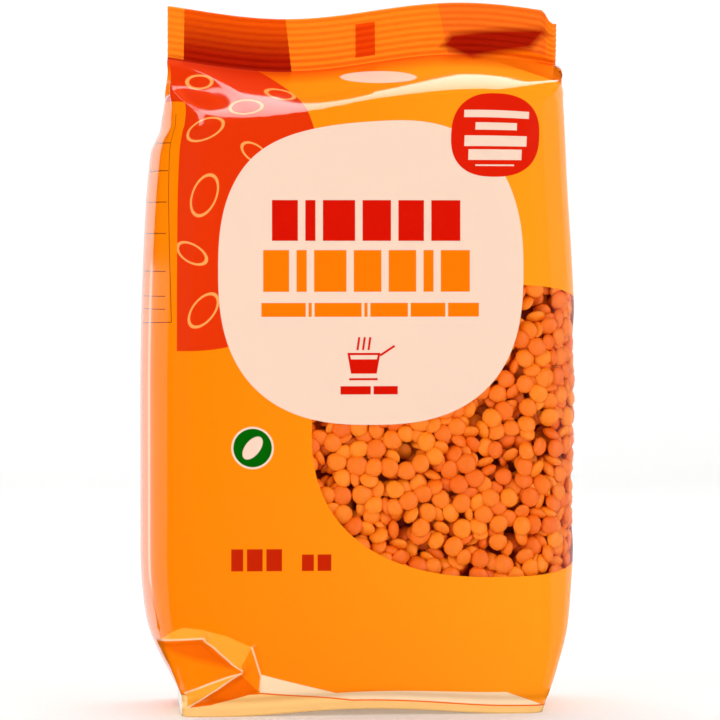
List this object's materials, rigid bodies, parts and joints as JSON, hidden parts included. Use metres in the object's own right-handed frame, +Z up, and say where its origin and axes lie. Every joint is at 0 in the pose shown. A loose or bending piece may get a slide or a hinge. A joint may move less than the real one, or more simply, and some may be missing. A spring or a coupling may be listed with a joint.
{
  "type": "bag of lentils",
  "caption": "Standing side-gusseted film bag of red lentils, with a ribbed crimp across its top, a folded foot and a clear window.",
  "frame": {"origin": "centre of the bag's outline on the surface it stands on", "axes": "+Z up, the printed front faces -Y and +X is to its right"},
  "size_m": [0.0963, 0.0495, 0.1562],
  "materials": {
    "printed_film": "glossy printed film, orange with red and cream fields",
    "clear_window": "clear glossy film",
    "lentil": "dry hulled red lentils, matt to satin"
  },
  "bodies": {
    "root": {"lentil_bag": "printed_film"}
  },
  "joints": []
}
